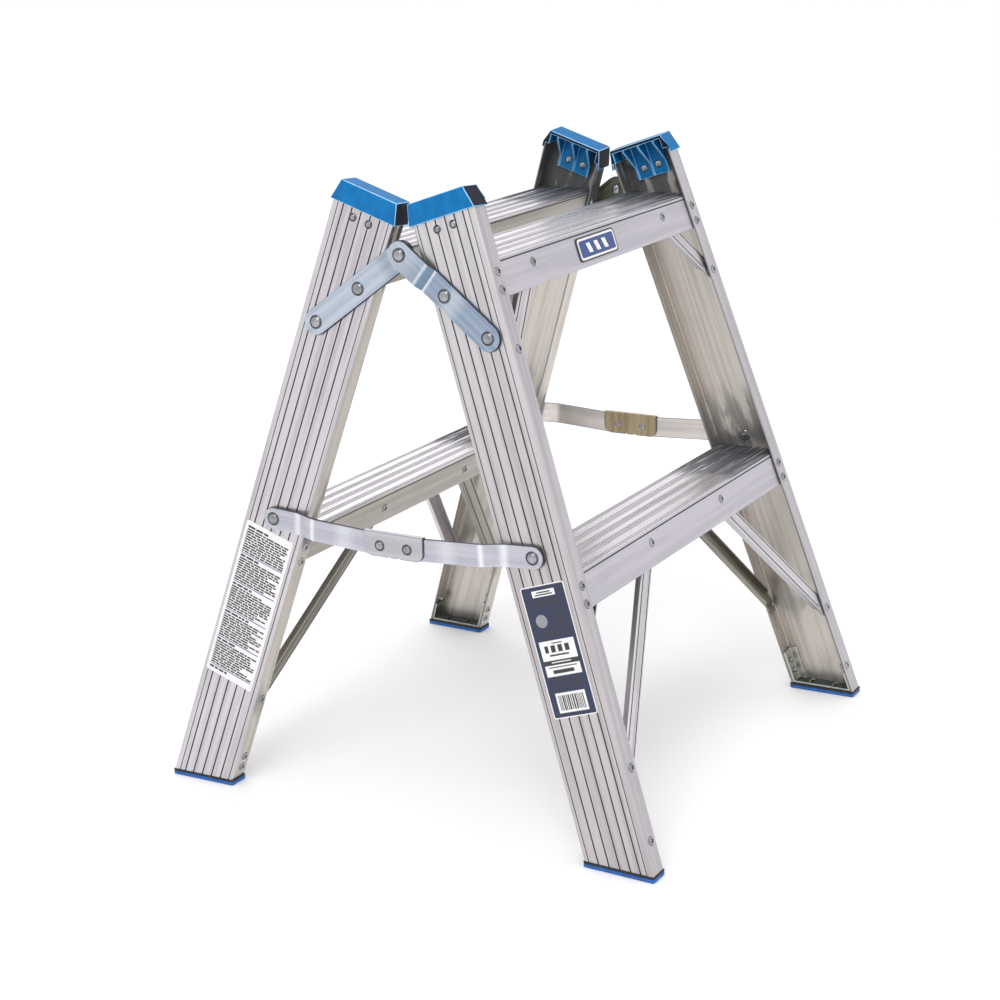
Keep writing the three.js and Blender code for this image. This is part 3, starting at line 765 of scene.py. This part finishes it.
def brace_shape(length):
    """A pressed channel along Z: flat round ends that fold smoothly into a lipped channel."""
    radius = BRACE_WIDTH / 2
    ends = [radius - radius * cos(k * pi / 20) for k in range(1, 11)]
    ends[0] = 0.12
    stations = [s - radius for s in ends] + [11 + 1.5 * k for k in range(8)] + [BRACE_FLAT]
    middle = [BRACE_FLAT + (length - 2 * BRACE_FLAT) * k / 8 for k in range(1, 8)]
    stations = stations + middle + [length - s for s in reversed(stations)]
    rings = []
    for z in stations:
        from_end = min(z, length - z)
        beyond = max(-from_end, 0)
        half = math.sqrt(max(radius ** 2 - beyond ** 2, 0.5))
        t = min(max((from_end - 11) / 10, 0), 1)
        lip = BRACE_SKIN + 0.5 + (BRACE_LIP - BRACE_SKIN - 0.5) * t * t * (3 - 2 * t)
        thin = min(BRACE_SKIN, half * 0.6)
        soft = min(1.0, half * 0.3)
        deep = min(0.4, half * 0.1)
        edge = min(0.25, thin * 0.3)
        crease = [(half * share, depth, 0) for share, depth in BRACE_CREASE]
        outline = fillet([
            (-half, 0, soft), *[(-x, y, r) for x, y, r in reversed(crease)], *crease,
            (half, 0, soft), (half, -lip, edge), (half - thin, -lip, edge),
            (half - thin, -BRACE_SKIN - deep * 0.5, 0), (half - thin - deep, -BRACE_SKIN, 0),
            (-half + thin + deep, -BRACE_SKIN, 0), (-half + thin, -BRACE_SKIN - deep * 0.5, 0),
            (-half + thin, -lip, edge), (-half, -lip, edge),
        ], 3)
        rings.append([(x, y, z) for x, y in outline])

    def creased(face):
        """1 down in a crease, which takes a painted shade, and 0 elsewhere."""
        middle = face.calc_center_median()
        down = -0.4 < middle.y < -0.03 and abs(middle.x) < radius * 0.78
        return 1 if down and 14 < middle.z < length - 14 else 0

    return (*loft(rings), creased)


def brace_place(start, end, way):
    """The frame-space place of a brace between two points, bearing outwards (1) or inwards (-1)."""
    z = (end - start).normalized()
    y = (Vector((0, way, 0)) - z * z.y * way).normalized()
    x = y.cross(z)
    turn = Matrix((x, y, z)).transposed().to_4x4()
    return FRAME @ Matrix.Translation(start) @ turn


def braces():
    """Each brace's name, its ends in frame space, and which way it bears."""
    behind = TREAD_SKIN + 3 * GAP
    return [
        ("top_brace", Vector((146, APRON_OUT - behind, -46)),
         Vector((web_at(-118) - 13, APRON_OUT - 1.6, -118)), 1),
        ("outer_brace", Vector((86, APRON_OUT - behind, -355)),
         Vector((web_at(-535) - 14, APRON_OUT, -535)), 1),
        ("inner_brace", Vector((86, APRON_IN + behind, -337)),
         Vector((web_at(-519) - 14, APRON_IN, -519)), -1),
    ]


# ---- Feet ----
def pad_shapes():
    """A blue sole with a rounded edge under a thin black gasket, both upright, in world millimetres."""
    level = rail_level(PAD_HEIGHT)

    def under(x, y):
        """The world x and y of a point of the rail's sawn foot."""
        point = RAIL @ Vector((x, y, level(x, y)))
        return point.x, point.y

    def layer(edge, radius, height):
        """A ring that stands out from the rail's foot by an edge."""
        inside = -FLANGE - edge
        corners = [under(inside, RAIL_IN - edge), under(edge, RAIL_IN - edge),
                   under(edge, RAIL_OUT + edge), under(inside, RAIL_OUT + edge)]
        return [(x, y, height) for x, y in fillet([(x, y, radius) for x, y in corners], 4)]

    sole = ((0.2, 1.6, 0), (0.9, 2.0, 0.5), (1.15, 2.2, 1.2), (1.15, 2.2, 3.5), (1.0, 2.1, 3.9),
            (0.5, 1.8, 4.1))
    gasket = ((0.5, 1.8, 4.1), (1.1, 2.2, 4.2), (1.3, 2.3, 4.5), (1.3, 2.3, 5.6), (1.1, 2.2, 5.9),
              (0.6, 2.0, 6.0))
    return [(*loft([layer(*one) for one in layers]), i) for i, layers in enumerate((sole, gasket))]


# ---- Link ----
def link_shape(grow=0, thin=0):
    """A strip folded over the two bars, open below, with round lower corners and two nicks. It may
    grow at its ends and below, and be thinner than the plate from outside."""
    bar_from = BAR_SPACER + BAR_STEP
    inner = (bar_from - 0.4, bar_from + BAR_SKIN + 0.4)
    outer = (inner[0] - LINK_SKIN + thin, inner[1] + LINK_SKIN - thin)
    half, top, low, round_by = 34 + grow, 14.4 - thin, -11 - grow, 8.5 + grow
    crown = top - LINK_SKIN + thin

    def floor(y):
        """The lower edge's level at a place along the link."""
        beyond = abs(y) - (half - round_by)
        lift = round_by - math.sqrt(max(round_by ** 2 - max(beyond, 0) ** 2, 0))
        nick = max(0, 1.6 - abs(abs(y) - 5.5)) * 0.9
        return low + lift + nick

    ends = [half - round_by + round_by * sin(k * pi / 20) for k in range(11)]
    inwards = [7.6, 7.1, 6.3, 5.5, 4.7, 3.9, 3.4]
    right = sorted(set(ends + inwards + [12, 18, 22, 1.5]))
    stations = [-y for y in reversed(right)] + right
    rings = []
    for y in stations:
        bottom = floor(y)
        outline = fillet([
            (outer[0], top, 1.5), (outer[1], top, 1.5), (outer[1], bottom, 0.3), (inner[1], bottom, 0.3),
            (inner[1], crown, 0.4), (inner[0], crown, 0.4), (inner[0], bottom, 0.3),
            (outer[0], bottom, 0.3),
        ], 3)
        rings.append([(x, y, z) for x, z in outline])
    return loft(rings)


# ---- Labels ----
def printed(name, colour, rough=0.4):
    """Ink or film on a label, with a faint grain and rubbed spots."""
    tree = Tree(name)
    speck = tree.noise((1.6, 1.6, 1.6), 3)
    wear_and_highlight = tree.noise((0.12, 0.3, 0.12), 4, 0.7)
    darker = tuple(c * 0.86 for c in colour)
    shade = tree.ramp(tree.total(wear_and_highlight, speck, 0.4), (0.5, darker), (0.95, colour))
    tree.bump(speck, 0.01)
    return tree.put(colour=shade, roughness=tree.span(wear_and_highlight, 0.3, 0.7, rough, rough + 0.15))


film_white = printed("film_white", (0.86, 0.855, 0.86))
film_navy = printed("film_navy", (0.020, 0.029, 0.078), 0.28)
ink_dark = printed("ink_dark", (0.035, 0.035, 0.04))
ink_grey = printed("ink_grey", (0.30, 0.30, 0.33))
ink_blue = printed("ink_blue", (0.03, 0.07, 0.24))


def sticker(across, along, radius=2.0, height=0.22, number=0):
    """A thin rounded film on a web, spanning y and z of rail space."""
    return slab(rounded(across, along, radius), 0.05, height, number)


INK_HEIGHT = 0.34
OVERPRINT = 0.42


def patch(y, z, number, height=INK_HEIGHT):
    """A printed block on a film."""
    return slab([(y[0], z[0]), (y[1], z[0]), (y[1], z[1]), (y[0], z[1])], 0.15, height, number)


def white_label():
    """Lines of short dark dashes in paragraphs, standing for print."""
    shapes = [sticker((RAIL_IN + 8, RAIL_IN + 68), (-511, -332))]
    left, right = RAIL_IN + 11.5, RAIL_IN + 64.5
    z = -337.0
    line = 0
    while z > -505:
        heading = line % 11 == 0
        height = 2.2 if heading else 1.7
        if heading and line:
            shapes.append(patch((left, right), (z - 0.9, z), 2))
            z -= 2.4
        y = right
        stop = left + (random.uniform(18, 34) if heading else random.choice((0, 0, 0, 6, 14)))
        while y > stop + 2:
            word = min(random.uniform(2.5, 9.5), y - stop)
            shapes.append(patch((y - word, y), (z - height, z), 1))
            y -= word + (1.3 if heading else 1.0)
        z -= height + (1.4 if heading else 1.05)
        line += 1
    return shapes


NAVY, WHITE, GREY, INK = range(4)


def navy_label():
    """A dark panel with a white border, dashes, a grey disc, white boxes and a block of stripes."""
    top, low = -343.5, -473.5
    left, right = RAIL_IN + 11, RAIL_IN + 59
    border = 1.1
    across = (left - border, right + border)
    shapes = [sticker(across, (low - border, top + border), 2.2, 0.2, WHITE)]
    shapes.append(sticker((left, right), (low, top), 1.6, 0.26, NAVY))
    middle = (left + right) / 2

    def bar(share, depth, reach, number, height=INK_HEIGHT):
        """A block whose top is a share of the way down, and which reaches to both sides."""
        z = top + share * (low - top)
        shapes.append(patch((middle - reach, middle + reach), (z - depth, z), number, height))

    def dashes(share, count, reach, shift=0):
        """Short dark lines of dashes, standing for small print."""
        for i in range(count):
            z = top + share * (low - top) - 2.7 * i
            y = middle + shift - reach
            while y < middle + shift + reach - 2:
                word = min(random.uniform(2.0, 7.0), middle + shift + reach - y)
                shapes.append(patch((y, y + word), (z - 1.5, z), INK))
                y += word + 1.0

    bar(0.030, 6.5, 13, WHITE)
    bar(0.042, 1.2, 8, INK, OVERPRINT)
    bar(0.060, 1.2, 10, INK, OVERPRINT)
    dashes(0.105, 3, 19)
    dashes(0.205, 6, 8, 11)
    seal = [(middle - 10 + 6.5 * cos(k * pi / 16), top - 34 + 6.5 * sin(k * pi / 16)) for k in range(32)]
    shapes.append(slab(seal, 0.15, 0.36, GREY))
    dashes(0.345, 2, 18)
    bar(0.415, 19.5, 20, WHITE)
    bar(0.432, 1.0, 6, INK, OVERPRINT)
    for reach_from, reach_to in ((-15, -11), (-8, -3), (0, 5), (8, 13)):
        z = top + 0.452 * (low - top)
        shapes.append(patch((middle + reach_from, middle + reach_to), (z - 7, z), INK, OVERPRINT))
    bar(0.522, 1.6, 11, INK, OVERPRINT)
    bar(0.566, 4.6, 20, INK)
    bar(0.578, 1.0, 11, WHITE, OVERPRINT)
    bar(0.602, 11, 20, WHITE)
    bar(0.615, 1.0, 16, INK, OVERPRINT)
    bar(0.640, 3.6, 12, INK, OVERPRINT)
    dashes(0.705, 4, 17)
    bar(0.815, 20, 17, WHITE)
    y = middle - 14.5
    while y < middle + 14:
        wide = random.choice((0.7, 1.1, 1.7))
        z = top + 0.835 * (low - top)
        shapes.append(patch((y, y + wide), (z - 15, z), INK, OVERPRINT))
        y += wide + random.choice((0.6, 0.8, 1.1))
    return shapes


def badge_shapes():
    """A rounded plate with a dark border, a blue field and three slanting bars. X is out of it."""
    def plate(half_y, half_z, radius, low, high, number):
        """A rounded slab about the badge's middle."""
        return slab(rounded((-half_y, half_y), (-half_z, half_z), radius, 6), low, high, number)

    shapes = [plate(42, 12.6, 4.5, 0.05, 0.9, 0), plate(40, 11, 3.6, 0.5, 1.0, 1)]
    shapes.append(plate(37.5, 8.8, 2.4, 0.6, 1.08, 2))
    for i in (-1, 0, 1):
        corners = [(i * 17 - 5.5, -5.2), (i * 17 + 2.5, -5.2), (i * 17 + 6.5, 5.2), (i * 17 - 1.5, 5.2)]
        shapes.append(slab(corners, 0.7, 1.14, 1))
    return shapes


# ---- The corners ----
def rail_rivets():
    """Blind rivets through both flanges, for the treads, the braces and the shoe."""
    outer = [-42, -60, -353, -371]
    inner = [-20, -38, -335, -352]
    found = []
    for x, y, levels, tail in (
        (-12.5, RAIL_OUT, outer, -4.9), (-13, RAIL_OUT, (-118, -535, -609), -4.3),
        (-11.5, RAIL_IN, inner, -4.9), (-12.5, RAIL_IN, (-519, -591, -604), -4.3),
    ):
        way = 1 if y == RAIL_OUT else -1
        for z in levels:
            found += blind_rivet(0, tail, facing((x, y, z), (0, way, 0)))
    return found


def dark_floor_faces(face):
    """2 on a shoe's upward faces, which are near black, and 0 on the rest of it."""
    return 2 if face.normal.z > 0.6 else 0


def corner(letter, side):
    """Everything on one rail of one ladder frame, and the spreader bar that starts there."""
    tag = f"{letter}_{side}"
    body = f"frame_{letter}"
    on_rail = mirrored(letter, side, RAIL)

    def fixing(name, shapes, place=on_rail, rides=body, stands_for=()):
        """A rivet, or a set of them that stay together."""
        build(f"{tag}_{name}", shapes, place, rivet_finish, rides, stands_for)

    web = rail_metal if letter == "a" else rail_metal_b
    # Grooves, the inside of the channel, the outer flange and the flange tips take darker materials: painted
    # shade.
    rail_finish = [web, painted_crevice_shade, rail_inside_shade, flange_shade_metal, tip_shade_metal]
    build(f"{tag}_rail_channel", [rail_shape()], on_rail, rail_finish, body, [f"{tag}_rail"],
          bevel=0.25)

    def cap_face(face):
        """1 on a cap's shaded ends and hollows, and 0 on the rest of it."""
        middle = face.calc_center_median()
        inner = face.normal.y < -0.6 and middle.y < RAIL_IN + 1
        outer = face.normal.y > 0.6 and middle.y > RAIL_OUT - 6
        hollow = middle.x < -1 and (face.normal.z < -0.5 or (face.normal.x < -0.8 and middle.z > 30))
        return 1 if inner or hollow or (outer and side == "left") else 0

    refined(f"{tag}_cap_moulding", f"{tag}_cap", on_rail, [cap_plastic, cap_end_shade, cap_edge_highlight], body,
            0.7, cap_face, 2)
    refined(f"{tag}_shoe_bracket", f"{tag}_shoe", on_rail, [shoe_metal, shoe_edge_highlight, shoe_floor], body,
            0.35, dark_floor_faces, 1)

    step = ARM_STEP if letter == "b" else 0
    arm = strip(ARM_WIDTH, ARM_SKIN, ARM_FAR, step, ARM_BENDS, ARM_LIFT)
    # A thin film a little wider than the arm, behind it: a painted shadow outline.
    rim = strip(ARM_WIDTH + 1.3, RIM_SKIN, ARM_FAR, step, ARM_BENDS, ARM_LIFT + RIM_INSET)
    arm_place = on_rail @ Matrix.Rotation(ARM_ANGLE, 4, "X")
    zinc = zinc_step if step else zinc_metal
    build(f"{tag}_arm_plate", [arm, (*rim[:2], 1)], arm_place, [zinc, zinc_outline_shade, zinc_back_shade], body,
          [f"{tag}_hinge_arm"])
    face = ARM_LIFT + ARM_SKIN + RIVET_SEAT
    for i, (y, z) in enumerate(ARM_RIVETS):
        rivet = flanged_rivet(face, -WALL - 0.1, Matrix.Translation((0, y, z)))
        fixing(f"arm_fixing_{i + 1}", rivet, stands_for=[f"{tag}_arm_rivet_{i + 1}"])

    for name, start, end, way in braces():
        place = mirrored(letter, side, brace_place(start, end, way))
        # The inner brace takes the darker copy: painted shade.
        finish = brace_shade_metal if name == "inner_brace" else brace_metal
        build(f"{tag}_{name}_channel", [brace_shape((end - start).length)], place,
              [finish, painted_crevice_shade], body, [f"{tag}_{name}"])

    build(f"{tag}_foot_pad", pad_shapes(), mirrored(letter, side, WORLD), [sole_plastic, pad_rubber],
          body, [f"{tag}_pad"])

    fixing("flange_rivets", rail_rivets())
    small, legs, apron = [], [], []
    for u in (26, 45):
        place = Matrix.Translation((0, RAIL_IN + u, 12.5))
        small += flanged_rivet(0.02, -WALL - 2.8, place, 3.6, 1.5, upset=1.1)
        # A dark film round the tail inside the channel: painted shade.
        small.append(shade_ring_film(WALL + 2.7, 4.0, place @ Matrix.Rotation(pi, 4, "Z"), 0.5))
    fixing("cap_rivets", small)
    for z in (-591, -604):
        legs += blind_rivet(0, -1, facing((-12.5, APRON_IN + 2.0, z), (0, 1, 0)), 2.6)
    # Shoe rivets: dark all over, painted shade.
    build(f"{tag}_shoe_rivets", legs, on_rail, [zinc_outline_shade, painted_crevice_shade], body)
    for x, z, y, way in ((146, -45, APRON_OUT, 1), (86, -354, APRON_OUT, 1), (86, -337, APRON_IN, -1)):
        apron += blind_rivet(0, -4.6, facing((x, y, z), (0, way, 0)))
    fixing("apron_rivets", apron, mirrored(letter, side, FRAME))

    bar_body = f"bar_{letter}_{side}"
    turn = math.atan2(LINK_PIVOT.y - BAR_PIVOT.y, BAR_PIVOT.z - LINK_PIVOT.z)
    bar_place = mirrored(letter, side, Matrix.Translation(BAR_PIVOT) @ Matrix.Rotation(turn, 4, "X"))
    bar_from = BAR_SPACER + BAR_STEP
    bar = strip(BAR_WIDTH, BAR_SKIN, BAR_LENGTH, -BAR_STEP, BAR_BENDS, bar_from)
    # A thin film a little wider than the bar, behind it: a painted shadow outline.
    rim = strip(BAR_WIDTH + 1.1, RIM_SKIN, BAR_LENGTH, -BAR_STEP, BAR_BENDS, bar_from + RIM_INSET)
    build(f"{tag}_bar_strip", [bar, (*rim[:2], 1)], bar_place, [bar_metal, bar_outline_shade, bar_back_lit], bar_body,
          [f"{tag}_spreader_bar"])
    bar_face = BAR_SPACER + BAR_SKIN + RIVET_SEAT
    washer = (1.2, BAR_SPACER - 0.15)
    if letter == "a":
        rivet = flanged_rivet(bar_face, -WALL - 0.8, collar=washer)
    else:
        rivet = flanged_rivet(bar_face, washer[0] - 0.02, collar=washer, upset=0)
    fixing("spreader_fixing", rivet, mirrored(letter, side, Matrix.Translation(BAR_PIVOT)),
           body if letter == "a" else bar_body, [f"{tag}_spreader_rivet"])
    tail = lathe([(0, -5.4), (2.6, -5.0), (3.2, -4.2), (3.2, -3.4), (6.2, -3.3), (6.6, -3.0),
                  (6.6, -2.5), (6.2, -2.25), (0, -2.25)])
    square_to_web = Matrix.Translation(BAR_PIVOT) @ Matrix.Rotation(-SPLAY, 4, "Y")
    build(f"{tag}_spreader_washer", [tail], mirrored(letter, side, square_to_web), [rivet_metal], body)


def middle(side):
    """The hinge pivot and the spreader's centre link of one side."""
    body = "frame_a"
    head = ARM_LIFT + ARM_STEP + ARM_SKIN + 0.5
    pivot = flanged_rivet(head, ARM_LIFT - 0.5)
    place = mirrored("a", side, Matrix.Translation((PIVOT_WIDTH / 2, 0, PIVOT_HEIGHT)))
    build(f"{side}_pivot_fixing", pivot, place, rivet_finish, body, [f"{side}_hinge_pivot"])
    finish = link_metal if side == "left" else link_gold
    place = mirrored("a", side, Matrix.Translation((LINK_PIVOT.x, 0, LINK_PIVOT.z)))
    # A slightly larger, thinner copy of the link: a painted shadow outline.
    rim = link_shape(0.65, 0.6)
    build(f"{side}_link_fold", [link_shape(), (*rim, 1)], place, [finish, bar_outline_shade], f"link_{side}",
          [f"{side}_link"])
    bar_from = BAR_SPACER + BAR_STEP
    for letter, way in (("a", 1), ("b", -1)):
        fixing = flanged_rivet(bar_from + BAR_SKIN + 2.05, bar_from - 2.05, WORLD, 5.0, 2.0)
        place = mirrored("a", side, Matrix.Translation((LINK_PIVOT.x, way * LINK_HALF, LINK_PIVOT.z)))
        build(f"{side}_link_fixing_{letter}", fixing, place, rivet_finish, f"link_{side}",
              [f"{side}_link_rivet_{letter}"])


# Tread tops are painted lighter as lit; the notch line, rib sides and inner aprons are painted darker as
# shade.
tread_finish = [tread_lit_metal, painted_crevice_shade, rib_shade_metal, apron_metal, apron_inside_shade]
for letter in "ab":
    for side in ("right", "left"):
        corner(letter, side)
    for level, height in TREAD_HEIGHTS:
        build(f"{letter}_{level}_step", [tread_shape(height)], mirrored(letter, "right", WORLD),
              tread_finish, f"frame_{letter}", [f"{letter}_{level}_tread"], bevel=0.2)
for side in ("right", "left"):
    middle(side)

build("a_care_label", white_label(), mirrored("a", "left", RAIL), [film_white, ink_dark, ink_blue],
      "frame_a")
build("b_size_label", navy_label(), mirrored("b", "left", RAIL),
      [film_navy, film_white, ink_grey, ink_dark], "frame_b")
badge_turn = facing((-14, APRON_OUT, -50), (0, 1, 0))
build("b_badge", badge_shapes(), mirrored("b", "right", FRAME @ badge_turn),
      [ink_dark, film_white, ink_blue], "frame_b")


# ---- Floor, light and camera ----
def stage_floor():
    """A pale floor that curves up into a back wall behind the sawhorse."""
    tree = Tree("floor_paint")
    soft = tree.noise((1.1, 1.1, 1.1), 3)
    colour = tree.ramp(soft, (0.3, (0.945, 0.945, 0.947)), (0.7, (0.965, 0.965, 0.967)))
    material = tree.put(colour=colour, roughness=0.75)
    mesh = bpy.data.meshes.new("floor")
    reach, rise = 7.0, 5.0
    vertices, faces = [], []
    profile = [(-reach, 0), (reach * 0.5, 0)]
    profile += [(reach * 0.5 + 2 * sin(k * pi / 16), 2 - 2 * cos(k * pi / 16)) for k in range(1, 9)]
    profile += [(reach * 0.5 + 2, rise)]
    away = Vector((sin(CAMERA_YAW), cos(CAMERA_YAW), 0))
    aside = Vector((away.y, -away.x, 0))
    for distance, height in profile:
        for sign in (-1, 1):
            point = away * distance + aside * sign * reach * 1.4 + Vector((0, 0, height))
            vertices.append(tuple(point))
    for i in range(len(profile) - 1):
        faces.append((2 * i, 2 * i + 1, 2 * i + 3, 2 * i + 2))
    mesh.from_pydata(vertices, [], faces)
    for polygon in mesh.polygons:
        polygon.use_smooth = True
    mesh.materials.append(material)
    floor = placed("floor", mesh)


def soft_box(name, place, target, size, power, colour=(1, 1, 1)):
    """A rectangular lamp that looks at a target."""
    light = bpy.data.lights.new(name, "AREA")
    light.shape = "RECTANGLE"
    light.size, light.size_y = size
    light.energy = power
    light.color = colour
    lamp = placed(name, light)
    lamp.location = place
    lamp.rotation_euler = (Vector(target) - Vector(place)).to_track_quat("-Z", "Y").to_euler()


def studio():
    """Even pale light all round, and three soft lamps."""
    world = bpy.data.worlds.new("studio")
    bpy.context.scene.world = world
    world.use_nodes = True
    background = world.node_tree.nodes["Background"]
    background.inputs["Color"].default_value = (1.0, 0.995, 1.0, 1)
    background.inputs["Strength"].default_value = 1.0
    soft_box("key", (-2.2, -0.6, 3.4), (0, 0, 0.25), (1.6, 1.6), 42)
    soft_box("front", (0.4, -3.2, 1.6), (0, 0, 0.35), (2.2, 1.6), 6, (0.97, 0.96, 1.0))
    soft_box("back", (2.4, 2.6, 2.6), (0, 0, 0.3), (2.4, 1.4), 16)


def camera():
    """The camera, turned by its yaw from +Y, its pitch and its roll."""
    data = bpy.data.cameras.new("camera")
    data.lens = CAMERA_LENS
    data.sensor_width = 36
    eye = placed("camera", data)
    level = cos(CAMERA_PITCH)
    ahead = Vector((level * sin(CAMERA_YAW), level * cos(CAMERA_YAW), sin(CAMERA_PITCH)))
    right = Vector((cos(CAMERA_YAW), -sin(CAMERA_YAW), 0))
    up = right.cross(ahead)
    across = right * cos(CAMERA_ROLL) + up * sin(CAMERA_ROLL)
    upward = up * cos(CAMERA_ROLL) - right * sin(CAMERA_ROLL)
    turn = Matrix((across, upward, -ahead)).transposed().to_4x4()
    eye.matrix_world = Matrix.Translation(CAMERA_AT) @ turn
    bpy.context.scene.camera = eye


stage_floor()
studio()
camera()
bpy.context.scene.view_settings.view_transform = "Standard"
